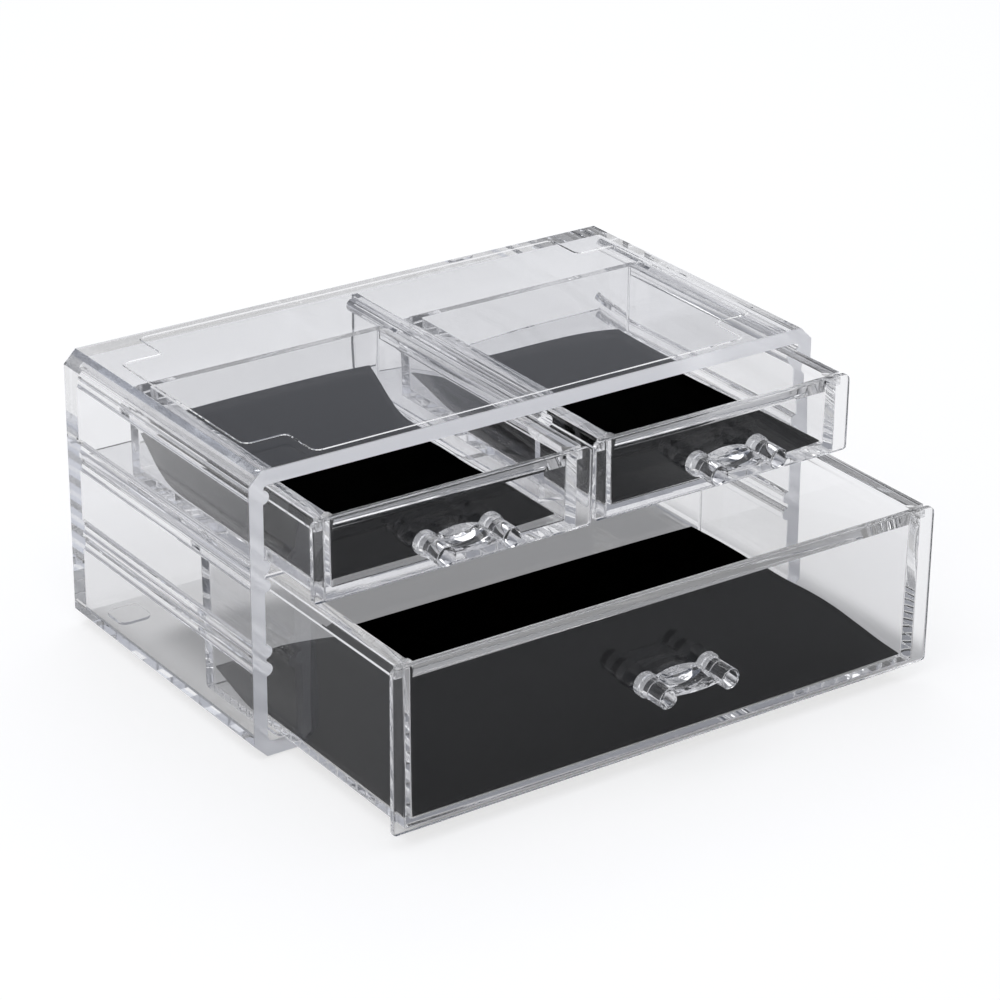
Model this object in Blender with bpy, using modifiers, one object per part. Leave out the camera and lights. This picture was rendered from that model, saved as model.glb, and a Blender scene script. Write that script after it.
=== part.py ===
"""Clear moulded makeup storage box: a casing with one wide drawer under two half-width drawers.

Metres, +Z up, front towards -Y. The origin is the centre of the casing's flat underside.
The drawers are modelled pulled out by their rest travel, each with a loose black liner sheet.
"""
import math

import bmesh
import bpy
from mathutils import Matrix, Vector

OBJECT_NAME = "makeup_storage_box"

# Casing: a box with chamfered long edges, closed at the back and open at the front.
CASING_WIDTH = 0.240
CASING_DEPTH = 0.129
CASING_HEIGHT = 0.1077
SIDE_WALL = 0.0054
LEVEL_WALL = 0.0055
BACK_WALL = 0.0054
OUTER_CHAMFER = 0.005
INNER_CHAMFER = 0.002
CUT_OVERRUN = 0.004

# Clearances.
SEAT_GAP = 0.0003
SLIDE_GAP = 0.00035
FLOOR_GAP = 0.0003
BACK_GAP = 0.0003
PANEL_EDGE_GAP = 0.0003

# Half-round guide ribs on the inner side walls, in pairs with a groove between them.
RIB_RADIUS = 0.00255
RIB_REACH = 0.0024
RIB_SIDES = 20
MIDDLE_GROOVE = 0.0017
GROOVE_PITCH = 0.0317
TOP_RIB_DROP = 0.0044

# Shelf between the wide drawer and the two half-width drawers, measured down from the ceiling.
SHELF_THICKNESS = 0.0014
SHELF_DROP = 0.0337

# Upright divider between the two half-width drawers.
DIVIDER_THICKNESS = 0.0025

# Stacking ridge on the top, stepped inwards round the feet of a box that stands on it.
RIDGE_SIDE_INSET = 0.0115
RIDGE_FRONT_INSET = 0.0040
RIDGE_RADIUS = 0.0007
RIDGE_SINK = 0.0002
NOTCH_WIDTH = 0.0170
NOTCH_DEPTH = 0.0180
RIDGE_CORNER = 0.0028
RIDGE_CORNER_STEPS = 4

# Feet: low pads under the corners.
FOOT_WIDTH = 0.0130
FOOT_DEPTH = 0.0130
FOOT_HEIGHT = 0.0010
FOOT_CORNER = 0.0030
FOOT_CLEARANCE = 0.0015

# Drawer bodies: a rail along the top of each side, and a slanted inner edge over the front wall.
DRAWER_WALL = 0.0033
FRONT_WALL = 0.0026
LARGE_BASE = 0.0020
SMALL_BASE = 0.0037
WALL_DRAFT_DEGREES = 0.5
BODY_CORNER = 0.0008
BODY_BASE_EDGE = 0.0008
INNER_CORNER = 0.0010
INNER_BASE_EDGE = 0.0008
RAIL_REACH = 0.0026
RAIL_HEIGHT = 0.0047
RAIL_EDGE = 0.0003
RAIL_END_INSET = 0.0009
SLANT_HEIGHT = 0.0060
SLANT_DEPTH = 0.0024
CORNER_STEPS = 4
EDGE_STEPS = 2

# Drawer clearances above and below, and rest travel.
LARGE_TOP_CLEARANCE = 0.0012
SMALL_TOP_CLEARANCE = 0.0020
LARGE_PANEL_DROP = 0.0001
SMALL_PANEL_LIFT = 0.0012
LARGE_OPEN = 0.0760
LEFT_OPEN = 0.0283
RIGHT_OPEN = 0.0268

# Front panels.
PANEL_THICKNESS = 0.0023
PANEL_MIDDLE_GAP = 0.0026
PANEL_TOP_CORNER = 0.0024
PANEL_BOTTOM_CORNER = 0.0012
PANEL_EDGE = 0.0004

# Handles: two hollow posts on collars, bridged by a web that thins towards the front.
HANDLE_DROP = 0.0029
POST_SPACING = 0.0264
POST_RADIUS = 0.0039
POST_LENGTH = 0.0139
BORE_RADIUS = 0.0029
BORE_TAPER = 0.0003
BORE_DEPTH = 0.0112
COLLAR_RADIUS = 0.0046
COLLAR_LENGTH = 0.0026
COLLAR_STEP = 0.0005
POST_EDGE = 0.0003
POST_SIDES = 28
WEB_TIP_OVERLAP = 0.0006
WEB_ROOT_HALF_HEIGHT = 0.0031
WEB_ROOT_TIP_HALF_HEIGHT = 0.0012
WEB_NOSE_HALF_HEIGHT = 0.0008
WEB_NOSE_TIP_HALF_HEIGHT = 0.0004
WEB_SETBACK = 0.0006
WEB_BULGE = 0.0007
WEB_HOLLOW_POWER = 1.7
WEB_SECTIONS = 7
WEB_HALF_POINTS = 10

# Liners: thin loose sheets that curl up towards the back.
LINER_THICKNESS = 0.0008
LINER_MARGIN = 0.0008
LEFT_LINER_SETBACK = 0.0047
LARGE_LINER_SETBACK = 0.0008
RIGHT_LINER_SETBACK = 0.0008
LINER_COLUMNS = 8
LINER_ROWS = 20
LEFT_LINER_CURL = 0.0145
LEFT_LINER_CURL_RIGHT = 0.0155
LEFT_LINER_START = 0.0290
LEFT_LINER_START_RIGHT = 0.0590
LEFT_LINER_POWER = 1.6
LEFT_LINER_POWER_RIGHT = 0.9
RIGHT_LINER_CURL = 0.0065
RIGHT_LINER_CURL_RIGHT = 0.0050
RIGHT_LINER_START = 0.0320
RIGHT_LINER_START_RIGHT = 0.0280
RIGHT_LINER_POWER = 1.6
RIGHT_LINER_POWER_RIGHT = 1.6
LARGE_LINER_CURL = 0.0060
LARGE_LINER_CURL_RIGHT = 0.0060
LARGE_LINER_START = 0.0300
LARGE_LINER_START_RIGHT = 0.0300
LARGE_LINER_POWER = 1.6
LARGE_LINER_POWER_RIGHT = 1.6

# Colours from the photograph: red, green, blue.
CLEAR_COLOUR = (0.93, 0.94, 0.96)
LINER_COLOUR = (0.012, 0.012, 0.013)
CLEAR_ROUGHNESS = 0.03
CLEAR_TRANSMISSION = 0.95
CLEAR_INDEX = 1.49
LINER_ROUGHNESS = 0.75

# Bevel profile of a circular arc.
ROUND_PROFILE = 0.5
MERGE_DISTANCE = 0.00001
SMOOTH_ANGLE_DEGREES = 28.0

# Planes worked out from the sizes above.
FRONT_Y = -CASING_DEPTH / 2
BACK_Y = CASING_DEPTH / 2
INNER_X = CASING_WIDTH / 2 - SIDE_WALL
FLOOR_Z = LEVEL_WALL
CEILING_Z = CASING_HEIGHT - LEVEL_WALL
INNER_BACK_Y = BACK_Y - BACK_WALL
RIB_TIP_X = INNER_X - RIB_REACH
DIVIDER_FACE_X = DIVIDER_THICKNESS / 2
SHELF_GROOVE = SHELF_THICKNESS + 2 * SEAT_GAP
SHELF_CENTRE_Z = CEILING_Z - SHELF_DROP
SHELF_TOP_Z = SHELF_CENTRE_Z + SHELF_THICKNESS / 2
MIDDLE_GROOVE_Z = SHELF_CENTRE_Z - GROOVE_PITCH
TOP_RIB_Z = CEILING_Z - TOP_RIB_DROP
LARGE_TOP_Z = SHELF_TOP_Z - SHELF_THICKNESS - LARGE_TOP_CLEARANCE
SMALL_TOP_Z = CEILING_Z - SMALL_TOP_CLEARANCE
LARGE_PANEL_BOTTOM_Z = FLOOR_Z - LARGE_PANEL_DROP
SMALL_PANEL_BOTTOM_Z = SHELF_TOP_Z + SMALL_PANEL_LIFT


def clear_scene():
    for obj in list(bpy.data.objects):
        bpy.data.objects.remove(obj, do_unlink=True)
    for collection in list(bpy.data.collections):
        bpy.data.collections.remove(collection)


def new_collection(name):
    collection = bpy.data.collections.new(name)
    bpy.context.scene.collection.children.link(collection)
    return collection


def clear_plastic(name):
    material = bpy.data.materials.new(name)
    material.use_nodes = True
    shader = material.node_tree.nodes["Principled BSDF"]
    shader.inputs["Base Color"].default_value = (*CLEAR_COLOUR, 1.0)
    shader.inputs["Roughness"].default_value = CLEAR_ROUGHNESS
    shader.inputs["Metallic"].default_value = 0.0
    shader.inputs["IOR"].default_value = CLEAR_INDEX
    shader.inputs["Transmission Weight"].default_value = CLEAR_TRANSMISSION
    return material


def liner_material(name):
    material = bpy.data.materials.new(name)
    material.use_nodes = True
    shader = material.node_tree.nodes["Principled BSDF"]
    shader.inputs["Base Color"].default_value = (*LINER_COLOUR, 1.0)
    shader.inputs["Roughness"].default_value = LINER_ROUGHNESS
    shader.inputs["Metallic"].default_value = 0.0
    return material


def add_object(name, bm, collection):
    """Turns a bmesh into an object, round faces smooth and sharp edges kept."""
    bmesh.ops.recalc_face_normals(bm, faces=bm.faces)
    mesh = bpy.data.meshes.new(name)
    bm.to_mesh(mesh)
    bm.free()
    mesh.shade_smooth()
    mesh.set_sharp_from_angle(angle=math.radians(SMOOTH_ANGLE_DEGREES))
    obj = bpy.data.objects.new(name, mesh)
    collection.objects.link(obj)
    return obj


def add_cutter(name, bm, collection):
    """An object that only shapes another one."""
    obj = add_object(name, bm, collection)
    obj.hide_render = True
    obj.display_type = "WIRE"
    return obj


def combine(obj, other, operation):
    modifier = obj.modifiers.new(operation.lower() + "_" + other.name, "BOOLEAN")
    modifier.operation = operation
    modifier.solver = "EXACT"
    modifier.object = other


def box_bmesh(low, high):
    """A cube primitive scaled and moved to two corners."""
    low = Vector(low)
    high = Vector(high)
    bm = bmesh.new()
    bmesh.ops.create_cube(bm, size=1.0)
    size = high - low
    bmesh.ops.scale(bm, vec=size, verts=bm.verts)
    bmesh.ops.translate(bm, vec=(low + high) / 2, verts=bm.verts)
    return bm


def edges_along(bm, axis):
    """Edges that run mostly along one axis."""
    found = []
    for edge in bm.edges:
        run = edge.verts[1].co - edge.verts[0].co
        largest = max(range(3), key=lambda index: abs(run[index]))
        if largest == axis:
            found.append(edge)
    return found


def level_edges(bm, z):
    """Edges that lie flat at one height."""
    return [edge for edge in bm.edges if all(abs(vert.co.z - z) < MERGE_DISTANCE for vert in edge.verts)]


def round_edges(bm, edges, radius, segments):
    bmesh.ops.bevel(bm, geom=edges, offset=radius, offset_type="OFFSET", segments=segments,
                    profile=ROUND_PROFILE, affect="EDGES", clamp_overlap=True)


def drafted_block(low, high, corner, base_edge, front_upright=False):
    """A block with moulding draft, round upright corners and a round base edge."""
    bm = box_bmesh(low, high)
    middle = Vector([(low[index] + high[index]) / 2 for index in range(3)])
    inset = (high[2] - low[2]) * math.tan(math.radians(WALL_DRAFT_DEGREES))
    for vert in bm.verts:
        if vert.co.z > middle.z:
            continue
        vert.co.x -= math.copysign(inset, vert.co.x - middle.x)
        if vert.co.y > middle.y or not front_upright:
            vert.co.y -= math.copysign(inset, vert.co.y - middle.y)
    round_edges(bm, edges_along(bm, 2), corner, CORNER_STEPS)
    round_edges(bm, level_edges(bm, low[2]), base_edge, EDGE_STEPS)
    return bm


def rib_cylinder(bm, x, z, front_y, back_y):
    """A round bar along Y, added to a bmesh."""
    turn = Matrix.Rotation(math.radians(90), 4, "X")
    move = Matrix.Translation((x, (front_y + back_y) / 2, z))
    bmesh.ops.create_cone(bm, cap_ends=True, segments=RIB_SIDES, radius1=RIB_RADIUS,
                          radius2=RIB_RADIUS, depth=back_y - front_y, matrix=move @ turn)


def rib_heights():
    """Centre heights of the casing's guide ribs."""
    heights = []
    for groove_z, groove in ((MIDDLE_GROOVE_Z, MIDDLE_GROOVE), (SHELF_CENTRE_Z, SHELF_GROOVE)):
        for side in (-1, 1):
            heights.append(groove_z + side * (groove / 2 + RIB_RADIUS))
    heights.append(TOP_RIB_Z)
    return heights


def arc_corner(before, corner, after, radius, steps):
    """Points that round one corner of a flat path."""
    into = (before - corner).normalized()
    out = (after - corner).normalized()
    start = corner + into * radius
    end = corner + out * radius
    centre = corner + (into + out) * radius
    points = []
    for step in range(steps + 1):
        turn = step / steps * math.pi / 2
        points.append(centre - out * radius * math.cos(turn) - into * radius * math.sin(turn))
    if (points[0] - start).length > (points[0] - end).length:
        points.reverse()
    return points


def ridge_path():
    """The stacking outline: a rectangle with a square notch at each corner."""
    side_x = CASING_WIDTH / 2 - RIDGE_SIDE_INSET
    front_y = BACK_Y - RIDGE_FRONT_INSET
    step_x = side_x - NOTCH_WIDTH
    step_y = front_y - NOTCH_DEPTH
    quarter = [Vector((side_x, step_y)), Vector((step_x, step_y)), Vector((step_x, front_y))]
    outline = []
    for sign_x, sign_y in ((1, 1), (-1, 1), (-1, -1), (1, -1)):
        points = [Vector((point.x * sign_x, point.y * sign_y)) for point in quarter]
        if sign_x * sign_y < 0:
            points.reverse()
        outline.extend(points)
    path = []
    count = len(outline)
    for index, corner in enumerate(outline):
        path.extend(arc_corner(outline[index - 1], corner, outline[(index + 1) % count],
                               RIDGE_CORNER, RIDGE_CORNER_STEPS))
    return path


def ridge_cutter(cutters):
    """The ridge as a closed round cord, made a mesh so that it can be joined."""
    curve = bpy.data.curves.new("ridge_curve", "CURVE")
    curve.dimensions = "3D"
    curve.bevel_depth = RIDGE_RADIUS
    curve.bevel_resolution = 1
    spline = curve.splines.new("POLY")
    path = ridge_path()
    spline.points.add(len(path) - 1)
    for point, place in zip(spline.points, path):
        point.co = (place.x, place.y, CASING_HEIGHT - RIDGE_SINK, 1.0)
    spline.use_cyclic_u = True
    guide = bpy.data.objects.new("ridge_guide", curve)
    cutters.objects.link(guide)
    bpy.context.view_layer.update()
    graph = bpy.context.evaluated_depsgraph_get()
    mesh = bpy.data.meshes.new_from_object(guide.evaluated_get(graph))
    bm = bmesh.new()
    bm.from_mesh(mesh)
    bmesh.ops.remove_doubles(bm, verts=bm.verts, dist=MERGE_DISTANCE)
    bpy.data.objects.remove(guide, do_unlink=True)
    bpy.data.meshes.remove(mesh)
    return add_cutter("stacking_ridge", bm, cutters)


def foot_centre():
    """Middle of a foot, which stands in the notch of the ridge below it."""
    x = CASING_WIDTH / 2 - RIDGE_SIDE_INSET - FOOT_CLEARANCE - FOOT_WIDTH / 2
    y = BACK_Y - RIDGE_FRONT_INSET - FOOT_CLEARANCE - FOOT_DEPTH / 2
    return x, y


def foot_bmesh(sign_x, sign_y):
    centre_x, centre_y = foot_centre()
    low = (sign_x * centre_x - FOOT_WIDTH / 2, sign_y * centre_y - FOOT_DEPTH / 2, -FOOT_HEIGHT)
    high = (sign_x * centre_x + FOOT_WIDTH / 2, sign_y * centre_y + FOOT_DEPTH / 2, LEVEL_WALL / 2)
    bm = box_bmesh(low, high)
    round_edges(bm, edges_along(bm, 2), FOOT_CORNER, EDGE_STEPS + 1)
    return bm


def make_casing(parts, cutters):
    half = CASING_WIDTH / 2
    bm = box_bmesh((-half, FRONT_Y, 0), (half, BACK_Y, CASING_HEIGHT))
    round_edges(bm, edges_along(bm, 1), OUTER_CHAMFER, 1)
    casing = add_object("casing", bm, parts)
    bm = box_bmesh((-INNER_X, FRONT_Y - CUT_OVERRUN, FLOOR_Z), (INNER_X, INNER_BACK_Y, CEILING_Z))
    round_edges(bm, edges_along(bm, 1), INNER_CHAMFER, EDGE_STEPS)
    combine(casing, add_cutter("casing_hollow", bm, cutters), "DIFFERENCE")
    ribs = bmesh.new()
    for side in (-1, 1):
        for height in rib_heights():
            rib_x = side * (RIB_TIP_X + RIB_RADIUS)
            rib_cylinder(ribs, rib_x, height, FRONT_Y, INNER_BACK_Y + BACK_WALL / 2)
    combine(casing, add_cutter("casing_ribs", ribs, cutters), "UNION")
    combine(casing, ridge_cutter(cutters), "UNION")
    for sign_x in (-1, 1):
        for sign_y in (-1, 1):
            side = "left" if sign_x < 0 else "right"
            end = "front" if sign_y < 0 else "back"
            foot = add_cutter("foot_" + side + "_" + end, foot_bmesh(sign_x, sign_y), cutters)
            combine(casing, foot, "UNION")
    casing.data.materials.append(clear_plastic("casing_plastic"))


def make_shelf(parts):
    reach = INNER_X - SEAT_GAP
    low = (-reach, FRONT_Y, SHELF_TOP_Z - SHELF_THICKNESS)
    high = (reach, INNER_BACK_Y - SEAT_GAP, SHELF_TOP_Z)
    shelf = add_object("shelf", box_bmesh(low, high), parts)
    shelf.data.materials.append(clear_plastic("shelf_plastic"))


def make_divider(parts, cutters):
    low_z = SHELF_TOP_Z + SEAT_GAP
    high_z = CEILING_Z - SEAT_GAP
    back_y = INNER_BACK_Y - SEAT_GAP
    bm = box_bmesh((-DIVIDER_FACE_X, FRONT_Y, low_z), (DIVIDER_FACE_X, back_y, high_z))
    divider = add_object("centre_divider", bm, parts)
    for side, name in ((-1, "divider_rib_left"), (1, "divider_rib_right")):
        rib = bmesh.new()
        rib_cylinder(rib, side * (DIVIDER_FACE_X + RIB_REACH - RIB_RADIUS), TOP_RIB_Z, FRONT_Y, back_y)
        combine(divider, add_cutter(name, rib, cutters), "UNION")
    divider.data.materials.append(clear_plastic("centre_divider_plastic"))


def rails_bmesh(drawer):
    """The two rails that run along the top of the drawer's sides."""
    x0, x1 = drawer["rail_x"]
    reach = RAIL_REACH + DRAWER_WALL / 2
    bm = bmesh.new()
    for low_x, high_x in ((x0, x0 + reach), (x1 - reach, x1)):
        low = Vector((low_x, drawer["front_y"] + RAIL_END_INSET, drawer["top_z"] - RAIL_HEIGHT))
        high = Vector((high_x, drawer["back_y"] - RAIL_END_INSET, drawer["top_z"]))
        made = bmesh.ops.create_cube(bm, size=1.0)
        bmesh.ops.scale(bm, vec=high - low, verts=made["verts"])
        bmesh.ops.translate(bm, vec=(low + high) / 2, verts=made["verts"])
    outer = [edge for edge in edges_along(bm, 1) if all(vert.co.x in (x0, x1) for vert in edge.verts)]
    return bm, outer


def slant_bmesh(low_x, high_x, inner_y, top_z):
    """A wedge that slants the inner top edge of the front wall."""
    low = (low_x, inner_y - SLANT_DEPTH, top_z - SLANT_HEIGHT)
    high = (high_x, inner_y + FRONT_WALL, top_z + CUT_OVERRUN)
    bm = box_bmesh(low, high)
    full_depth = SLANT_DEPTH * (SLANT_HEIGHT + CUT_OVERRUN) / SLANT_HEIGHT
    for vert in bm.verts:
        if vert.co.y < inner_y:
            vert.co.y = inner_y - full_depth if vert.co.z > top_z else inner_y
    return bm


def make_body(drawer, parts, cutters):
    """The open-topped drawer body: drafted walls with a rail outside along the top of each side."""
    name = "body_" + drawer["name"]
    x0, x1 = drawer["rail_x"]
    y0 = drawer["front_y"]
    y1 = drawer["back_y"]
    z0 = drawer["base_z"]
    z1 = drawer["top_z"]
    outer_low = (x0 + RAIL_REACH, y0, z0)
    outer_high = (x1 - RAIL_REACH, y1, z1)
    block = drafted_block(outer_low, outer_high, BODY_CORNER, BODY_BASE_EDGE, front_upright=True)
    body = add_object(name, block, parts)
    rails, outer = rails_bmesh(drawer)
    round_edges(rails, outer, RAIL_EDGE, EDGE_STEPS)
    combine(body, add_cutter(name + "_rails", rails, cutters), "UNION")
    inner_y = y0 + FRONT_WALL
    hollow_low = (outer_low[0] + DRAWER_WALL, inner_y, z0 + drawer["base"])
    hollow_high = (outer_high[0] - DRAWER_WALL, y1 - DRAWER_WALL, z1 + CUT_OVERRUN)
    hollow = drafted_block(hollow_low, hollow_high, INNER_CORNER, INNER_BASE_EDGE)
    combine(body, add_cutter(name + "_hollow", hollow, cutters), "DIFFERENCE")
    slant = slant_bmesh(hollow_low[0] + INNER_CORNER, hollow_high[0] - INNER_CORNER, inner_y, z1)
    combine(body, add_cutter(name + "_slant", slant, cutters), "DIFFERENCE")
    body.data.materials.append(clear_plastic(name + "_plastic"))
    return body


def make_front(drawer, parts):
    """The front panel: a flat plate with round edges, fixed across the drawer's front."""
    x0, x1 = drawer["panel_x"]
    z0, z1 = drawer["panel_z"]
    y0 = drawer["panel_y"]
    bm = box_bmesh((x0, y0, z0), (x1, y0 + PANEL_THICKNESS, z1))
    upper = [edge for edge in edges_along(bm, 1) if edge.verts[0].co.z > (z0 + z1) / 2]
    lower = [edge for edge in edges_along(bm, 1) if edge.verts[0].co.z < (z0 + z1) / 2]
    round_edges(bm, upper, PANEL_TOP_CORNER, CORNER_STEPS)
    lower = [edge for edge in lower if edge.is_valid]
    round_edges(bm, lower, PANEL_BOTTOM_CORNER, EDGE_STEPS)
    through = set(edges_along(bm, 1))
    outline = [edge for edge in bm.edges if edge not in through]
    round_edges(bm, outline, PANEL_EDGE, EDGE_STEPS)
    front = add_object("front_" + drawer["name"], bm, parts)
    front.data.materials.append(clear_plastic(front.name + "_plastic"))
    return front


def turned_post(name, x, y, z, collection):
    """A hollow post with a wide collar, turned about the Y direction, open to the front."""
    profile = [
        (0, POST_LENGTH - BORE_DEPTH),
        (BORE_RADIUS - BORE_TAPER, POST_LENGTH - BORE_DEPTH),
        (BORE_RADIUS, POST_LENGTH - POST_EDGE),
        (BORE_RADIUS + POST_EDGE, POST_LENGTH),
        (POST_RADIUS - POST_EDGE, POST_LENGTH),
        (POST_RADIUS, POST_LENGTH - POST_EDGE),
        (POST_RADIUS, COLLAR_LENGTH + COLLAR_STEP),
        (COLLAR_RADIUS - POST_EDGE, COLLAR_LENGTH),
        (COLLAR_RADIUS, COLLAR_LENGTH - POST_EDGE),
        (COLLAR_RADIUS, 0),
        (0, 0),
    ]
    mesh = bpy.data.meshes.new(name)
    verts = [(radius, 0, height) for radius, height in profile]
    edges = [(index, index + 1) for index in range(len(profile) - 1)]
    mesh.from_pydata(verts, edges, [])
    post = bpy.data.objects.new(name, mesh)
    collection.objects.link(post)
    post.matrix_world = Matrix.Translation((x, y, z)) @ Matrix.Rotation(math.radians(90), 4, "X")
    screw = post.modifiers.new("turn", "SCREW")
    screw.steps = POST_SIDES
    screw.render_steps = POST_SIDES
    screw.use_merge_vertices = True
    screw.merge_threshold = MERGE_DISTANCE
    screw.use_smooth_shade = True
    return post


def lens_half_height(across, middle, tip):
    """Half height of a lens outline, across from -1 at one tip to 1 at the other."""
    return tip + (middle - tip) * (1 - across * across)


def web_bmesh(centre_x, back_y, centre_z):
    """The finger web between the posts: a lens at its root that thins to a narrow nose."""
    reach = POST_SPACING / 2 - POST_RADIUS + WEB_TIP_OVERLAP
    length = POST_LENGTH - WEB_SETBACK - WEB_BULGE
    bm = bmesh.new()
    rings = []
    for section in range(WEB_SECTIONS):
        along = section / (WEB_SECTIONS - 1)
        fullness = (1 - along) ** WEB_HOLLOW_POWER
        middle = WEB_NOSE_HALF_HEIGHT + (WEB_ROOT_HALF_HEIGHT - WEB_NOSE_HALF_HEIGHT) * fullness
        tip = WEB_NOSE_TIP_HALF_HEIGHT + (WEB_ROOT_TIP_HALF_HEIGHT - WEB_NOSE_TIP_HALF_HEIGHT) * fullness
        ring = []
        for side in (1, -1):
            for index in range(WEB_HALF_POINTS + 1):
                across = side * (2 * index / WEB_HALF_POINTS - 1)
                depth = along * (length + WEB_BULGE * (1 - across * across))
                height = side * lens_half_height(across, middle, tip)
                place = (centre_x + across * reach, back_y - depth, centre_z + height)
                ring.append(bm.verts.new(place))
        rings.append(ring)
    count = len(rings[0])
    for first, second in zip(rings, rings[1:]):
        for index in range(count):
            following = (index + 1) % count
            bm.faces.new((first[index], first[following], second[following], second[index]))
    bm.faces.new(rings[0])
    bm.faces.new(rings[-1])
    return bm


def make_handle(drawer, parts, cutters):
    """One moulded pull: a left post that is joined to the web and the right post."""
    name = "handle_" + drawer["name"]
    x0, x1 = drawer["panel_x"]
    z0, z1 = drawer["panel_z"]
    centre_x = (x0 + x1) / 2
    centre_z = (z0 + z1) / 2 - HANDLE_DROP
    back_y = drawer["panel_y"] - SEAT_GAP
    handle = turned_post(name, centre_x - POST_SPACING / 2, back_y, centre_z, parts)
    right_x = centre_x + POST_SPACING / 2
    other = turned_post(name + "_right_post", right_x, back_y, centre_z, cutters)
    other.hide_render = True
    other.display_type = "WIRE"
    web = add_cutter(name + "_web", web_bmesh(centre_x, back_y, centre_z), cutters)
    combine(handle, web, "UNION")
    combine(handle, other, "UNION")
    handle.data.materials.append(clear_plastic(name + "_plastic"))
    return handle


def make_liner(drawer, parts):
    """A thin sheet on the drawer's floor, curling up towards the back wall."""
    draft = (drawer["top_z"] - drawer["base_z"]) * math.tan(math.radians(WALL_DRAFT_DEGREES))
    inset = DRAWER_WALL + draft + LINER_MARGIN
    x0, x1 = drawer["rail_x"]
    front = drawer["front_y"] + FRONT_WALL + draft + drawer["liner_setback"]
    low = Vector((x0 + RAIL_REACH + inset, front))
    high = Vector((x1 - RAIL_REACH - inset, drawer["back_y"] - inset))
    floor_z = drawer["base_z"] + drawer["base"] + SEAT_GAP
    curl_left, curl_right = drawer["curl"]
    start_left, start_right = drawer["curl_start"]
    power_left, power_right = drawer["curl_power"]
    bm = bmesh.new()
    bmesh.ops.create_grid(bm, x_segments=LINER_COLUMNS, y_segments=LINER_ROWS, size=1.0)
    for vert in bm.verts:
        across = (vert.co.x + 1) / 2
        y = low.y + (vert.co.y + 1) / 2 * (high.y - low.y)
        lift_left = curl_height(y, high.y, start_left, curl_left, power_left)
        lift_right = curl_height(y, high.y, start_right, curl_right, power_right)
        lift = lift_left + (lift_right - lift_left) * across
        vert.co = (low.x + across * (high.x - low.x), y, floor_z + lift)
    liner = add_object("liner_" + drawer["name"], bm, parts)
    solid = liner.modifiers.new("thickness", "SOLIDIFY")
    solid.thickness = LINER_THICKNESS
    solid.offset = 1.0
    liner.data.materials.append(liner_material(liner.name + "_sheet"))
    return liner


def curl_height(y, back_y, start, curl, power):
    """Height of a curled edge: none before its start, then rising to the back."""
    share = max(0.0, (y - (back_y - start)) / start)
    return curl * share ** power


def drawer_table():
    """The three drawers with their places worked out at rest."""
    outer_rail_x = RIB_TIP_X - SLIDE_GAP
    inner_rail_x = DIVIDER_FACE_X + RIB_REACH + SLIDE_GAP
    outer_panel_x = INNER_X - PANEL_EDGE_GAP
    inner_panel_x = PANEL_MIDDLE_GAP / 2
    drawers = [
        {
            "name": "large",
            "rail_x": (-outer_rail_x, outer_rail_x),
            "panel_x": (-outer_panel_x, outer_panel_x),
            "panel_z": (LARGE_PANEL_BOTTOM_Z, LARGE_TOP_Z),
            "base_z": FLOOR_Z + FLOOR_GAP,
            "base": LARGE_BASE,
            "liner_setback": LARGE_LINER_SETBACK,
            "open": LARGE_OPEN,
            "curl": (LARGE_LINER_CURL, LARGE_LINER_CURL_RIGHT),
            "curl_start": (LARGE_LINER_START, LARGE_LINER_START_RIGHT),
            "curl_power": (LARGE_LINER_POWER, LARGE_LINER_POWER_RIGHT),
        },
        {
            "name": "left",
            "rail_x": (-outer_rail_x, -inner_rail_x),
            "panel_x": (-outer_panel_x, -inner_panel_x),
            "panel_z": (SMALL_PANEL_BOTTOM_Z, SMALL_TOP_Z),
            "base_z": SHELF_TOP_Z + FLOOR_GAP,
            "base": SMALL_BASE,
            "liner_setback": LEFT_LINER_SETBACK,
            "open": LEFT_OPEN,
            "curl": (LEFT_LINER_CURL, LEFT_LINER_CURL_RIGHT),
            "curl_start": (LEFT_LINER_START, LEFT_LINER_START_RIGHT),
            "curl_power": (LEFT_LINER_POWER, LEFT_LINER_POWER_RIGHT),
        },
        {
            "name": "right",
            "rail_x": (inner_rail_x, outer_rail_x),
            "panel_x": (inner_panel_x, outer_panel_x),
            "panel_z": (SMALL_PANEL_BOTTOM_Z, SMALL_TOP_Z),
            "base_z": SHELF_TOP_Z + FLOOR_GAP,
            "base": SMALL_BASE,
            "liner_setback": RIGHT_LINER_SETBACK,
            "open": RIGHT_OPEN,
            "curl": (RIGHT_LINER_CURL, RIGHT_LINER_CURL_RIGHT),
            "curl_start": (RIGHT_LINER_START, RIGHT_LINER_START_RIGHT),
            "curl_power": (RIGHT_LINER_POWER, RIGHT_LINER_POWER_RIGHT),
        },
    ]
    for drawer in drawers:
        closed_panel_back = FRONT_Y - SEAT_GAP
        drawer["top_z"] = drawer["panel_z"][1]
        drawer["panel_y"] = closed_panel_back - PANEL_THICKNESS - drawer["open"]
        drawer["front_y"] = FRONT_Y - drawer["open"]
        drawer["back_y"] = INNER_BACK_Y - BACK_GAP - drawer["open"]
    return drawers


def add_drawer_axis(drawer, collection, pieces):
    """An empty on the drawer's slide axis that carries the drawer's pieces."""
    axis = bpy.data.objects.new("slide_" + drawer["name"], None)
    collection.objects.link(axis)
    middle_x = sum(drawer["rail_x"]) / 2
    axis.location = (middle_x, drawer["front_y"], drawer["base_z"])
    bpy.context.view_layer.update()
    for piece in pieces:
        piece.parent = axis
        piece.matrix_parent_inverse = axis.matrix_world.inverted()


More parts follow.
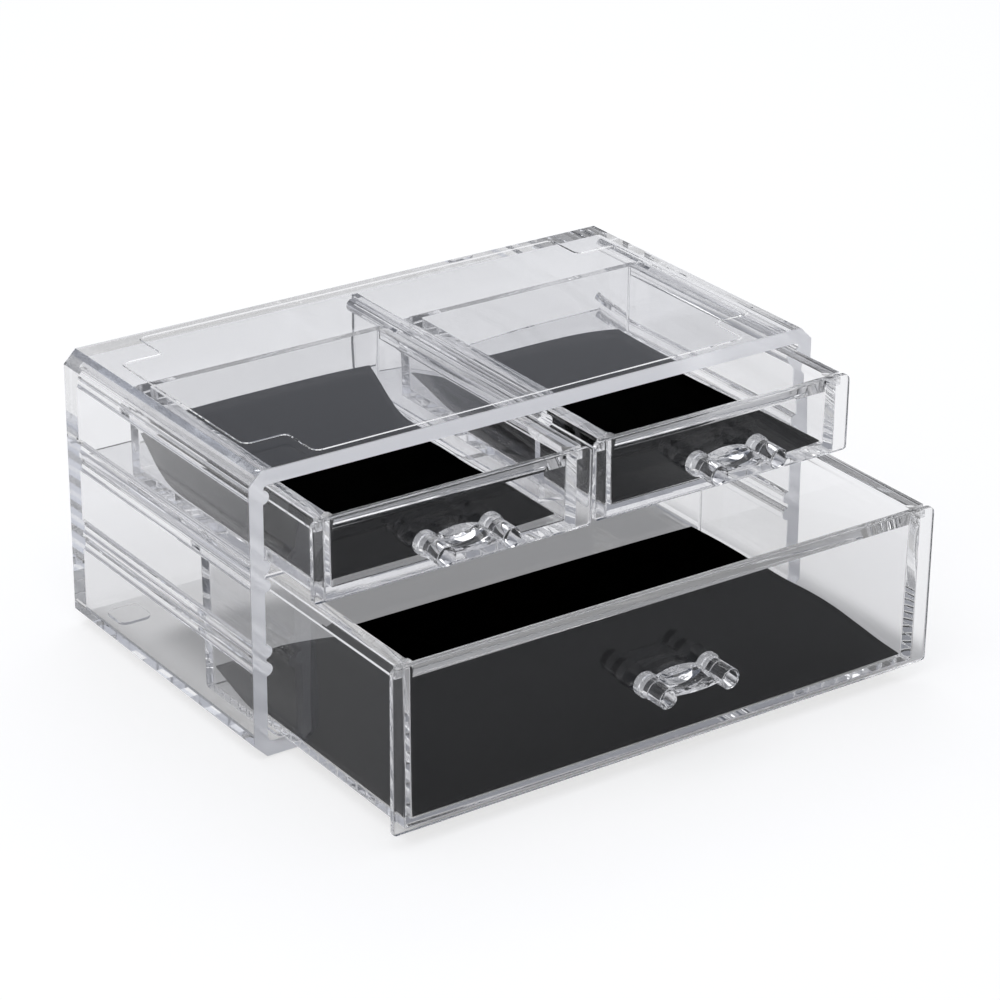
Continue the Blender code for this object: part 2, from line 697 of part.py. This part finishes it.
def main():
    clear_scene()
    parts = new_collection(OBJECT_NAME)
    cutters = new_collection("cutters")
    make_casing(parts, cutters)
    make_shelf(parts)
    make_divider(parts, cutters)
    for drawer in drawer_table():
        pieces = [
            make_body(drawer, parts, cutters),
            make_front(drawer, parts),
            make_handle(drawer, parts, cutters),
            make_liner(drawer, parts),
        ]
        add_drawer_axis(drawer, parts, pieces)


main()
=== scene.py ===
"""Looks of a clear moulded makeup storage box with three drawers and black liner sheets.

Metres, +Z up, front towards -Y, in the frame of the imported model.
"""

import math

import bmesh
import bpy
from mathutils import Matrix, Vector


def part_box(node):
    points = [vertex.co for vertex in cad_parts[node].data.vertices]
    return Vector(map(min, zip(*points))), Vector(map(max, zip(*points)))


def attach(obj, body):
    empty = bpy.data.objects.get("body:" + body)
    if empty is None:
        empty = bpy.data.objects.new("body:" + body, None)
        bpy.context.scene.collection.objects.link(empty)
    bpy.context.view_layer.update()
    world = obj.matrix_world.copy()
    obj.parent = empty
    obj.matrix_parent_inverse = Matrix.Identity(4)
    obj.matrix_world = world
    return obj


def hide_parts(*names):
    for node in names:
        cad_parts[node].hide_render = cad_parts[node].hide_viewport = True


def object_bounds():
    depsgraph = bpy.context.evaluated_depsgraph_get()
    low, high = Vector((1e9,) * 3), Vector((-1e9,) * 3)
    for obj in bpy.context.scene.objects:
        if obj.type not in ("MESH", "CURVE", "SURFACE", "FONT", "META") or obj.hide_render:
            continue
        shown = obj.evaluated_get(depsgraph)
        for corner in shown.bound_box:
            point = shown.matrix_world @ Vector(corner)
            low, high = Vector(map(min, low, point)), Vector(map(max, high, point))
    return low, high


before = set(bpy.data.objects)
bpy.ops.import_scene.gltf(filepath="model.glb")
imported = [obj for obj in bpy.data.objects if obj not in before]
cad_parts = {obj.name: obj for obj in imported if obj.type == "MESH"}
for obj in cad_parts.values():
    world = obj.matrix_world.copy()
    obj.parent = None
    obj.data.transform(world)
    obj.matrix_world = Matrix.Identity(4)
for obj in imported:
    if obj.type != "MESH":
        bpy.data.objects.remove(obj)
cad_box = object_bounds()

# Camera: the viewpoint of the photograph.
CAMERA_AIM = (0.0047, -0.0312, 0.0539)
CAMERA_DISTANCE = 1.2766
CAMERA_AZIMUTH_DEGREES = -34.82
CAMERA_ELEVATION_DEGREES = 24.71
CAMERA_ROLL_DEGREES = 0.50
CAMERA_LENS_MM = 126.7
CAMERA_SENSOR_MM = 36.0
CAMERA_CLIP_START = 0.01

# Floor: white to the camera. The clear plastic mirrors it and shows it through as paper with painted light and
# shade:
# bright behind the box, painted shade in front and at its left, and a painted shadow under the box. Ramps are
# stretches along X or Y.
FLOOR_HALF_SIZE = 4.0
FLOOR_GAP = 0.00002
FLOOR_ALBEDO = 0.30
FLOOR_WHITE = 0.72
FLOOR_GLOW_BRIGHT = 0.69
FLOOR_PAINTED_SHADE_DIM = 0.24
FLOOR_MIRRORED_PAINTED_SHADE = 0.02
FRONT_PAINTED_SHADE_RAMP = (-0.170, -0.115)
LEFT_PAINTED_SHADE_RAMP = (0.02, 0.22)
LEFT_PAINTED_SHADE_SHARE = 0.6
LEFT_PAINTED_SHADE_EDGE = (-0.124, -0.098)
# Painted shadow under the box in the floor's glow: its depth, its soft edge and how far it reaches past the
# casing's right side.
PAINTED_SHADOW_DEPTH = 0.58
PAINTED_SHADOW_SOFTNESS = 0.02
PAINTED_SHADOW_RIGHT = 0.02

# World: its levels and tints go by height, the Z of a direction. What the clear plastic mirrors or shows
# through is also brighter straight ahead and has a dark band beside that, by the direction's Y and Z.
WHITE = (1.0, 1.0, 1.0)
WORLD_HORIZON = 0.62
WORLD_MIDDLE = 0.29
WORLD_OVERHEAD = 0.95
WORLD_LOWER_HEIGHT = (0.0, 0.55)
WORLD_UPPER_HEIGHT = (0.5, 0.9)
WORLD_FRONT_SHARE = 1.8
WORLD_DARK_SHARE = 0.08
WORLD_DARK_START = (-0.71, -0.67)
WORLD_DARK_END = (-0.20, 0.05)
WORLD_DARK_HEIGHT = (0.50, 0.60)
WORLD_LOW_HEIGHT = (0.31, 0.38)
WORLD_DARK_TINT = (0.70, 0.85, 1.25)
WORLD_DARK_TINT_END_SHARE = 0.5
WORLD_UPPER_TINT = (0.94, 0.97, 1.07)
WORLD_UPPER_TINT_HEIGHT = (0.0, 0.4)

LAMPS = (
    {"name": "key", "place": (-0.55, -0.35, 1.15), "size": (1.0, 0.7), "power": 5.0},
    {"name": "rear", "place": (0.45, 0.75, 0.95), "size": (1.0, 0.5), "power": 3.0},
)

# Light path limits, for light that runs on inside the clear walls.
MOST_BOUNCES = 200
MOST_TRANSPARENT = 16

# Clear plastic. The casing's front end faces and its long chamfers are duller; the front end faces and the
# inner part of the chamfers carry painted shade, a darker bluish tint.
CLEAR_TINT = (0.968, 0.968, 0.973)
CLEAR_INDEX = 1.49
CLEAR_ROUGHNESS = 0.0
WAVE_SCALE = 30.0
WAVE_DETAIL = 1.0
WAVE_STRENGTH = 0.003
WAVE_DISTANCE = 0.0004
CASING_FRONT_ROUGHNESS = 0.34
CASING_FRONT_EDGE_Y = -0.0640
CASING_FRONT_PAINTED_SHADE = (0.80, 0.81, 0.86)
CASING_CHAMFER_ROUGHNESS = 0.10
CASING_CHAMFER_X = (0.1148, 0.1168)
CASING_CHAMFER_SLOPE = 0.3
CASING_CHAMFER_PAINTED_SHADE = (0.60, 0.63, 0.71)

# The CAD's own clear pieces that stay in the picture.
CARRIED_OVER_NODES = ("casing", "shelf", "centre_divider")

# Drawer mouldings: each body and its front plate are one piece to the eye.
DRAWERS = ("large", "left", "right")
PLATE_BACK_OVERLAP = 0.00012
SEAT_SIDE_INSET = 0.0031
SEAT_BASE_INSET = 0.0012
SEAT_TOP_INSET = 0.00002
SEAT_DEPTH = 0.00015
SHARP_ANGLE_DEGREES = 28.0
FLAT_FACE_WEIGHT = 100

# Pulls: their posts look solid, with a shallow recess in front.
PLUG_RADIUS = 0.0031
PLUG_START = 0.0015
PLUG_RECESS = 0.0003
PLUG_SIDES = 56

# Liner sheets. Their profiles are drawn at the left edge, the middle and the right edge, as points of
# distance from the back and lift. The right edge is also drawn in, by so much at the back and at the front.
SHEET_THICKNESS = 0.0005
SHEET_LIFT = 0.0001
SHEET_CELL = 0.0025
SHEET_EDGE_POWER = 3
LINER_BLACK = (0.0004, 0.0004, 0.0004)
LINER_FLECK = (0.0012, 0.0012, 0.0013)
LINER_ROUGHNESS = 0.9
LINER_SPECULAR = 0.005
FIBRE_SCALE = 1800.0
FIBRE_DETAIL = 2.0
LINERS = {
    "liner_large": {
        "body": "large_drawer",
        "tray": "body_large",
        "left": ((0.0, 0.0067), (0.010, 0.0038), (0.020, 0.0012), (0.030, 0.0)),
        "middle": ((0.0, 0.0067), (0.010, 0.0038), (0.020, 0.0012), (0.030, 0.0)),
        "right": ((0.0, 0.0060), (0.018, 0.0062), (0.035, 0.0056), (0.050, 0.0048), (0.068, 0.0053),
                  (0.080, 0.0048), (0.093, 0.0031), (0.106, 0.0013), (0.115, 0.0006)),
        "right_inset": (0.0038, 0.0),
    },
    "liner_left": {
        "body": "left_drawer",
        "tray": "body_left",
        "left": ((0.0, 0.0136), (0.006, 0.0088), (0.011, 0.0048), (0.018, 0.0013), (0.026, 0.0)),
        "middle": ((0.0, 0.0147), (0.006, 0.0098), (0.012, 0.0055), (0.019, 0.0018), (0.028, 0.0)),
        "right": ((0.0, 0.0138), (0.006, 0.0101), (0.0124, 0.0057), (0.0195, 0.0019), (0.028, 0.0006),
                  (0.045, 0.0010), (0.064, 0.0003), (0.080, 0.0010), (0.112, 0.0006)),
        "right_inset": (0.0036, 0.0008),
    },
    "liner_right": {
        "body": "right_drawer",
        "tray": "body_right",
        "left": ((0.0, 0.0065), (0.010, 0.0042), (0.022, 0.0012), (0.032, 0.0)),
        "middle": ((0.0, 0.0045), (0.010, 0.0026), (0.020, 0.0008), (0.028, 0.0)),
        "right": ((0.0, 0.0018), (0.015, 0.0011), (0.030, 0.0006), (0.060, 0.0004), (0.115, 0.0009)),
        "right_inset": (0.0045, 0.0006),
    },
}


def calculate(nodes, operation, first, second=None):
    """A value worked out from one or two others, each a number or a node's output."""
    node = nodes.new("ShaderNodeMath")
    node.operation = operation
    for socket, value in zip(node.inputs, (first, second)):
        if isinstance(value, bpy.types.NodeSocket):
            nodes.id_data.links.new(value, socket)
        elif value is not None:
            socket.default_value = value
    return node.outputs[0]


def smooth_ramp(nodes, source, start, end, from_value, to_value):
    """A value that changes smoothly from one to another while the source goes from start to end."""
    node = nodes.new("ShaderNodeMapRange")
    node.interpolation_type = "SMOOTHSTEP"
    node.inputs["From Min"].default_value = start
    node.inputs["From Max"].default_value = end
    node.inputs["To Min"].default_value = from_value
    node.inputs["To Max"].default_value = to_value
    nodes.id_data.links.new(source, node.inputs["Value"])
    return node.outputs["Result"]


def mix_colours(nodes, share, first, second):
    """The first colour, or a node's output, where the share is 0, and the second colour where it is 1."""
    mix = nodes.new("ShaderNodeMix")
    mix.data_type = "RGBA"
    if isinstance(first, tuple):
        mix.inputs["A"].default_value = (*first, 1.0)
    else:
        nodes.id_data.links.new(first, mix.inputs["A"])
    mix.inputs["B"].default_value = (*second, 1.0)
    nodes.id_data.links.new(share, mix.inputs["Factor"])
    return mix.outputs["Result"]


def split_vector(nodes, vector):
    """The X, Y and Z of a vector output."""
    split = nodes.new("ShaderNodeSeparateXYZ")
    nodes.id_data.links.new(vector, split.inputs[0])
    return split.outputs["X"], split.outputs["Y"], split.outputs["Z"]


def ray_kinds(nodes):
    """1 for the camera's own ray, for one that a surface mirrored, and for one that came through it."""
    path = nodes.new("ShaderNodeLightPath")
    return path.outputs["Is Camera Ray"], path.outputs["Is Glossy Ray"], path.outputs["Is Transmission Ray"]


def noise_on_piece(nodes, scale, detail):
    """The piece's own coordinates, and noise that keeps its place on them."""
    place = nodes.new("ShaderNodeTexCoord").outputs["Object"]
    texture = nodes.new("ShaderNodeTexNoise")
    texture.inputs["Scale"].default_value = scale
    texture.inputs["Detail"].default_value = detail
    nodes.id_data.links.new(place, texture.inputs["Vector"])
    return place, texture.outputs["Fac"]


def new_material(name):
    """A new material with its nodes, its links and its Principled shader."""
    material = bpy.data.materials.new(name)
    material.use_nodes = True
    tree = material.node_tree
    return material, tree.nodes, tree.links, tree.nodes["Principled BSDF"]


def dull_edges_with_painted_shade(nodes, links, shader, place):
    """Makes the casing's front end faces and long chamfers duller than its walls, and paints shade on the
    front end faces and the chamfers' inner part as a darker bluish tint.
    """
    x, y, _ = split_vector(nodes, place)
    front = calculate(nodes, "LESS_THAN", y, CASING_FRONT_EDGE_Y)
    surface = nodes.new("ShaderNodeNewGeometry")
    normal_x, _, normal_z = split_vector(nodes, surface.outputs["True Normal"])
    slope = calculate(nodes, "ABSOLUTE", calculate(nodes, "MULTIPLY", normal_x, normal_z))
    sloping = calculate(nodes, "GREATER_THAN", slope, CASING_CHAMFER_SLOPE)
    outward = calculate(nodes, "ABSOLUTE", x)
    outside = calculate(nodes, "GREATER_THAN", outward, CASING_CHAMFER_X[0])
    chamfer = calculate(nodes, "MULTIPLY", sloping, outside)
    short_of_wall = calculate(nodes, "LESS_THAN", outward, CASING_CHAMFER_X[1])
    painted_shade_part = calculate(nodes, "MULTIPLY", chamfer, short_of_wall)
    front_dull = calculate(nodes, "MULTIPLY", front, CASING_FRONT_ROUGHNESS)
    chamfer_dull = calculate(nodes, "MULTIPLY", chamfer, CASING_CHAMFER_ROUGHNESS)
    links.new(calculate(nodes, "MAXIMUM", front_dull, chamfer_dull), shader.inputs["Roughness"])
    # Painted shade: a darker bluish tint on the inner part of the chamfers and on the front end faces.
    colour = mix_colours(nodes, painted_shade_part, CLEAR_TINT, CASING_CHAMFER_PAINTED_SHADE)
    links.new(mix_colours(nodes, front, colour, CASING_FRONT_PAINTED_SHADE), shader.inputs["Base Color"])


def clear_plastic(name, has_dull_edges_with_painted_shade=False):
    """Polished clear plastic whose moulded faces are very slightly wavy, with dull edges and painted shade on
    them where asked.
    """
    material, nodes, links, shader = new_material(name)
    shader.inputs["Base Color"].default_value = (*CLEAR_TINT, 1.0)
    shader.inputs["Roughness"].default_value = CLEAR_ROUGHNESS
    shader.inputs["IOR"].default_value = CLEAR_INDEX
    shader.inputs["Transmission Weight"].default_value = 1.0
    place, wave = noise_on_piece(nodes, WAVE_SCALE, WAVE_DETAIL)
    bump = nodes.new("ShaderNodeBump")
    bump.inputs["Strength"].default_value = WAVE_STRENGTH
    bump.inputs["Distance"].default_value = WAVE_DISTANCE
    links.new(wave, bump.inputs["Height"])
    links.new(bump.outputs["Normal"], shader.inputs["Normal"])
    if has_dull_edges_with_painted_shade:
        dull_edges_with_painted_shade(nodes, links, shader, place)
    return material


def black_sheet(name):
    """Matt black sheet with a fine fibre."""
    material, nodes, links, shader = new_material(name)
    shader.inputs["Roughness"].default_value = LINER_ROUGHNESS
    shader.inputs["Specular IOR Level"].default_value = LINER_SPECULAR
    _, fibre = noise_on_piece(nodes, FIBRE_SCALE, FIBRE_DETAIL)
    links.new(mix_colours(nodes, fibre, LINER_BLACK, LINER_FLECK), shader.inputs["Base Color"])
    return material


def dress_carried_over_nodes():
    """Gives the CAD's own pieces that stay in the picture their material."""
    for node in CARRIED_OVER_NODES:
        material = clear_plastic("clear_" + node, has_dull_edges_with_painted_shade=node == "casing")
        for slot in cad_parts[node].material_slots:
            slot.material = material


def add_object(name, data):
    """A new object with this mesh, lamp or camera, linked to the scene."""
    obj = bpy.data.objects.new(name, data)
    bpy.context.scene.collection.objects.link(obj)
    return obj


def add_mesh_object(name, bm):
    """A new object with the bmesh's shape. The bmesh is freed."""
    mesh = bpy.data.meshes.new(name)
    bm.to_mesh(mesh)
    bm.free()
    return add_object(name, mesh)


def copy_node(name, node):
    """A new object with a CAD node's shape, in the row frame."""
    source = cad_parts[node]
    mesh = source.data.copy()
    mesh.transform(source.matrix_world)
    return add_object(name, mesh)


def box_object(name, low, high):
    """A box between two corners."""
    bm = bmesh.new()
    bmesh.ops.create_cube(bm, size=1.0)
    bmesh.ops.scale(bm, vec=high - low, verts=bm.verts)
    bmesh.ops.translate(bm, vec=(low + high) / 2, verts=bm.verts)
    return add_mesh_object(name, bm)


def rod_object(name, front_end, back_end):
    """A round rod along Y that fills a pull's post."""
    bm = bmesh.new()
    turn = Matrix.Rotation(math.radians(90), 3, "X")
    bmesh.ops.create_cone(bm, cap_ends=True, segments=PLUG_SIDES, radius1=PLUG_RADIUS, radius2=PLUG_RADIUS,
                          depth=back_end.y - front_end.y)
    bmesh.ops.rotate(bm, matrix=turn, verts=bm.verts)
    bmesh.ops.translate(bm, vec=(front_end + back_end) / 2, verts=bm.verts)
    return add_mesh_object(name, bm)


def join_solid(obj, other):
    """Unites a second solid with the first for good."""
    union = obj.modifiers.new("join", "BOOLEAN")
    union.operation = "UNION"
    union.solver = "EXACT"
    union.object = other
    bpy.context.view_layer.update()
    graph = bpy.context.evaluated_depsgraph_get()
    mesh = bpy.data.meshes.new_from_object(obj.evaluated_get(graph))
    obj.modifiers.clear()
    obj.data = mesh
    bpy.data.objects.remove(other, do_unlink=True)


def finish_clear(obj, drawer, *replaced):
    """Gives a united clear piece its material, its flat faces and its place in the drawer."""
    obj.data.materials.clear()
    obj.data.materials.append(clear_plastic("clear_" + obj.name))
    obj.data.shade_smooth()
    obj.data.set_sharp_from_angle(angle=math.radians(SHARP_ANGLE_DEGREES))
    weighted = obj.modifiers.new("flat_faces", "WEIGHTED_NORMAL")
    weighted.keep_sharp = True
    weighted.weight = FLAT_FACE_WEIGHT
    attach(obj, drawer + "_drawer")
    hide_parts(*replaced)


def make_moulding(drawer):
    """One clear moulding per drawer: the body and the front plate with the seat between them filled."""
    body = "body_" + drawer
    front = "front_" + drawer
    body_low, body_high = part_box(body)
    plate_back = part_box(front)[1].y
    moulding = copy_node("moulding_" + drawer, body)
    plate = copy_node("plate_" + drawer, front)
    reach = Vector((SEAT_SIDE_INSET, 0.0, 0.0))
    low = Vector((body_low.x, plate_back - PLATE_BACK_OVERLAP, body_low.z + SEAT_BASE_INSET)) + reach
    high = Vector((body_high.x, body_low.y + SEAT_DEPTH, body_high.z - SEAT_TOP_INSET)) - reach
    join_solid(moulding, box_object("seat_" + drawer, low, high))
    join_solid(moulding, plate)
    finish_clear(moulding, drawer, body, front)


def make_pull(drawer):
    """The pull with its posts solid to near their front ends, as the photo's light in them shows."""
    node = "handle_" + drawer
    low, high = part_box(node)
    pull = copy_node("pull_" + drawer, node)
    collar_radius = (high.z - low.z) / 2
    for x in (low.x + collar_radius, high.x - collar_radius):
        front_end = Vector((x, low.y + PLUG_RECESS, low.z + collar_radius))
        back_end = Vector((x, high.y - PLUG_START, low.z + collar_radius))
        join_solid(pull, rod_object("plug_" + drawer, front_end, back_end))
    finish_clear(pull, drawer, node)


def profile_slope(points, index):
    """Slope of a drawn edge profile at one of its points."""
    first = points[max(index - 1, 0)]
    last = points[min(index + 1, len(points) - 1)]
    return (last[1] - first[1]) / (last[0] - first[0])


def profile_height(points, distance):
    """Height of a smooth curve through a drawn edge profile, at a distance from the back."""
    for index, (start, end) in enumerate(zip(points, points[1:])):
        if distance <= end[0]:
            span = end[0] - start[0]
            share = (distance - start[0]) / span
            rise = end[1] - start[1]
            leave = profile_slope(points, index) * span - rise
            arrive = rise - profile_slope(points, index + 1) * span
            bend = share * (1 - share) * (leave * (1 - share) + arrive * share)
            return max(0.0, start[1] + rise * share + bend)
    return points[-1][1]


def sheet_lift(facts, across, from_back):
    """Lift of a sheet at a share of its width, between its drawn middle and the nearer drawn edge."""
    middle = profile_height(facts["middle"], from_back)
    edge = profile_height(facts["left"] if across < 0.5 else facts["right"], from_back)
    from_middle = abs(across - 0.5) * 2
    return middle + (edge - middle) * from_middle ** SHEET_EDGE_POWER


def make_liner(node, facts):
    """A thin sheet on its drawer's floor that curls up towards the back."""
    low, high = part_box(node)
    full_width = high.x - low.x
    length = high.y - low.y
    at_back, at_front = facts["right_inset"]
    bm = bmesh.new()
    bmesh.ops.create_grid(bm, x_segments=round(full_width / SHEET_CELL), y_segments=round(length / SHEET_CELL),
                          size=1.0)
    for vert in bm.verts:
        across = (vert.co.x + 1) / 2
        from_front = (vert.co.y + 1) / 2
        y = low.y + from_front * length
        width = full_width - (at_front + (at_back - at_front) * from_front)
        lift = sheet_lift(facts, across, high.y - y)
        vert.co = (low.x + across * width, y, low.z + SHEET_LIFT + lift)
    sheet = add_mesh_object(node + "_sheet", bm)
    sheet.data.shade_smooth()
    sheet.data.materials.append(black_sheet("black_" + node))
    solid = sheet.modifiers.new("thickness", "SOLIDIFY")
    solid.thickness = SHEET_THICKNESS
    solid.offset = 1.0
    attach(sheet, facts["body"])
    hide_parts(node)


def floor_painted_shadow(nodes, x, y):
    """1 around the box, and less in a soft painted shadow under it, where the liner sheets would shade the
    floor.
    """
    low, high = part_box("casing")
    right_end = high.x + PAINTED_SHADOW_RIGHT
    back_end = high.y - PAINTED_SHADOW_SOFTNESS
    after_left = smooth_ramp(nodes, x, low.x, low.x + 2 * PAINTED_SHADOW_SOFTNESS, 0.0, 1.0)
    before_right = smooth_ramp(nodes, x, right_end - PAINTED_SHADOW_SOFTNESS, right_end, 1.0, 0.0)
    before_back = smooth_ramp(nodes, y, back_end - PAINTED_SHADOW_SOFTNESS, back_end, 1.0, 0.0)
    across = calculate(nodes, "MULTIPLY", after_left, before_right)
    inside = calculate(nodes, "MULTIPLY", across, before_back)
    return smooth_ramp(nodes, inside, 0.0, 1.0, 1.0, 1 - PAINTED_SHADOW_DEPTH)


def floor_painted_light(nodes, x, y):
    """Levels of the floor, with painted light and shade, as the clear plastic mirrors it and as it shows it
    through.
    """
    front = smooth_ramp(nodes, y, *FRONT_PAINTED_SHADE_RAMP, 0.0, 1.0)
    left = smooth_ramp(nodes, y, *LEFT_PAINTED_SHADE_RAMP, 0.0, LEFT_PAINTED_SHADE_SHARE)
    right_of_edge = smooth_ramp(nodes, x, *LEFT_PAINTED_SHADE_EDGE, 0.0, 1.0)
    # Painted light share: dim, as painted shade, in front of the box and at its left, and bright elsewhere.
    painted_light_share = calculate(nodes, "MINIMUM", front, calculate(nodes, "MAXIMUM", left, right_of_edge))
    mirrored = smooth_ramp(nodes, painted_light_share, 0.0, 1.0, FLOOR_MIRRORED_PAINTED_SHADE, FLOOR_GLOW_BRIGHT)
    through = smooth_ramp(nodes, painted_light_share, 0.0, 1.0, FLOOR_PAINTED_SHADE_DIM, FLOOR_GLOW_BRIGHT)
    painted_shadow = floor_painted_shadow(nodes, x, y)
    return calculate(nodes, "MULTIPLY", mirrored, painted_shadow), calculate(nodes, "MULTIPLY", through, painted_shadow)


def make_floor():
    """A paper floor that keeps the object's shadow and is white to the camera, with painted light, shade and
    shadow in what the clear plastic mirrors and shows through.
    """
    bm = bmesh.new()
    bmesh.ops.create_grid(bm, x_segments=1, y_segments=1, size=FLOOR_HALF_SIZE)
    floor = add_mesh_object("floor", bm)
    floor.location.z = cad_box[0][2] - FLOOR_GAP
    material, nodes, links, unused_shader = new_material("floor_paper")
    nodes.remove(unused_shader)
    paper = nodes.new("ShaderNodeBsdfDiffuse")
    paper.inputs["Color"].default_value = (FLOOR_ALBEDO, FLOOR_ALBEDO, FLOOR_ALBEDO, 1.0)
    x, y, _ = split_vector(nodes, nodes.new("ShaderNodeNewGeometry").outputs["Position"])
    mirrored, through = floor_painted_light(nodes, x, y)
    camera, glossy, transmitted = ray_kinds(nodes)
    white = calculate(nodes, "MULTIPLY", camera, FLOOR_WHITE)
    sent_on = calculate(nodes, "MAXIMUM", calculate(nodes, "MULTIPLY", mirrored, glossy),
                        calculate(nodes, "MULTIPLY", through, transmitted))
    glowing = nodes.new("ShaderNodeEmission")
    links.new(calculate(nodes, "MAXIMUM", white, sent_on), glowing.inputs["Strength"])
    add = nodes.new("ShaderNodeAddShader")
    links.new(paper.outputs[0], add.inputs[0])
    links.new(glowing.outputs[0], add.inputs[1])
    links.new(add.outputs[0], nodes["Material Output"].inputs["Surface"])
    floor.data.materials.append(material)


def world_share(nodes, y, z):
    """How much brighter or darker than its level by height the world is, as the clear plastic sends it on."""
    in_front = smooth_ramp(nodes, y, *WORLD_DARK_START, WORLD_FRONT_SHARE, WORLD_DARK_SHARE)
    behind = smooth_ramp(nodes, y, *WORLD_DARK_END, WORLD_DARK_SHARE, 1.0)
    low = smooth_ramp(nodes, z, *WORLD_LOW_HEIGHT, 1.0, WORLD_DARK_SHARE)
    around = calculate(nodes, "MAXIMUM", calculate(nodes, "MAXIMUM", in_front, behind), low)
    overhead = smooth_ramp(nodes, z, *WORLD_DARK_HEIGHT, WORLD_FRONT_SHARE, WORLD_DARK_SHARE)
    return calculate(nodes, "MINIMUM", around, overhead)


def make_world():
    """Soft studio light all around, white to the camera."""
    world = bpy.data.worlds.new("studio")
    bpy.context.scene.world = world
    world.use_nodes = True
    nodes = world.node_tree.nodes
    links = world.node_tree.links
    background = nodes["Background"]
    _, y, z = split_vector(nodes, nodes.new("ShaderNodeTexCoord").outputs["Generated"])
    lower = smooth_ramp(nodes, z, *WORLD_LOWER_HEIGHT, WORLD_HORIZON, WORLD_MIDDLE)
    upper = smooth_ramp(nodes, z, *WORLD_UPPER_HEIGHT, 0.0, WORLD_OVERHEAD - WORLD_MIDDLE)
    level = calculate(nodes, "ADD", lower, upper)
    camera, glossy, transmitted = ray_kinds(nodes)
    sent_on = calculate(nodes, "MAXIMUM", glossy, transmitted)
    change = calculate(nodes, "SUBTRACT", world_share(nodes, y, z), 1.0)
    share = calculate(nodes, "ADD", calculate(nodes, "MULTIPLY", change, sent_on), 1.0)
    shaped = calculate(nodes, "MULTIPLY", level, share)
    links.new(calculate(nodes, "MAXIMUM", camera, shaped), background.inputs["Strength"])
    high_up = smooth_ramp(nodes, z, *WORLD_UPPER_TINT_HEIGHT, 0.0, 1.0)
    dark = smooth_ramp(nodes, share, WORLD_DARK_SHARE, WORLD_DARK_TINT_END_SHARE, 1.0, 0.0)
    colour = mix_colours(nodes, high_up, WHITE, WORLD_UPPER_TINT)
    links.new(mix_colours(nodes, dark, colour, WORLD_DARK_TINT), background.inputs["Color"])


def make_lamps():
    """Soft area lamps that look at the object."""
    for facts in LAMPS:
        data = bpy.data.lights.new(facts["name"], "AREA")
        data.shape = "RECTANGLE"
        data.size, data.size_y = facts["size"]
        data.energy = facts["power"]
        lamp = add_object(facts["name"], data)
        lamp.location = facts["place"]
        towards = Vector(CAMERA_AIM) - Vector(facts["place"])
        lamp.rotation_euler = towards.to_track_quat("-Z", "Y").to_euler()


def make_camera():
    """The camera at the photograph's viewpoint."""
    azimuth = math.radians(CAMERA_AZIMUTH_DEGREES)
    elevation = math.radians(CAMERA_ELEVATION_DEGREES)
    back = Vector((math.sin(azimuth) * math.cos(elevation), -math.cos(azimuth) * math.cos(elevation),
                   math.sin(elevation)))
    right = Vector((math.cos(azimuth), math.sin(azimuth), 0.0))
    up = back.cross(right)
    turn = Matrix((right, up, back)).transposed().to_4x4()
    turn = turn @ Matrix.Rotation(math.radians(CAMERA_ROLL_DEGREES), 4, "Z")
    data = bpy.data.cameras.new("camera")
    data.lens = CAMERA_LENS_MM
    data.sensor_width = CAMERA_SENSOR_MM
    data.clip_start = CAMERA_CLIP_START
    camera = add_object("camera", data)
    camera.matrix_world = Matrix.Translation(Vector(CAMERA_AIM) + back * CAMERA_DISTANCE) @ turn
    bpy.context.scene.camera = camera


def set_light_paths():
    """Lets light run on inside the clear walls."""
    cycles = bpy.context.scene.cycles
    cycles.max_bounces = MOST_BOUNCES
    cycles.transmission_bounces = MOST_BOUNCES
    cycles.glossy_bounces = MOST_BOUNCES
    cycles.transparent_max_bounces = MOST_TRANSPARENT


def main():
    bpy.context.scene.view_settings.view_transform = "Standard"
    make_camera()
    make_floor()
    make_world()
    make_lamps()
    set_light_paths()
    dress_carried_over_nodes()
    for drawer in DRAWERS:
        make_moulding(drawer)
        make_pull(drawer)
    for node, facts in LINERS.items():
        make_liner(node, facts)
    bpy.context.view_layer.update()


main()
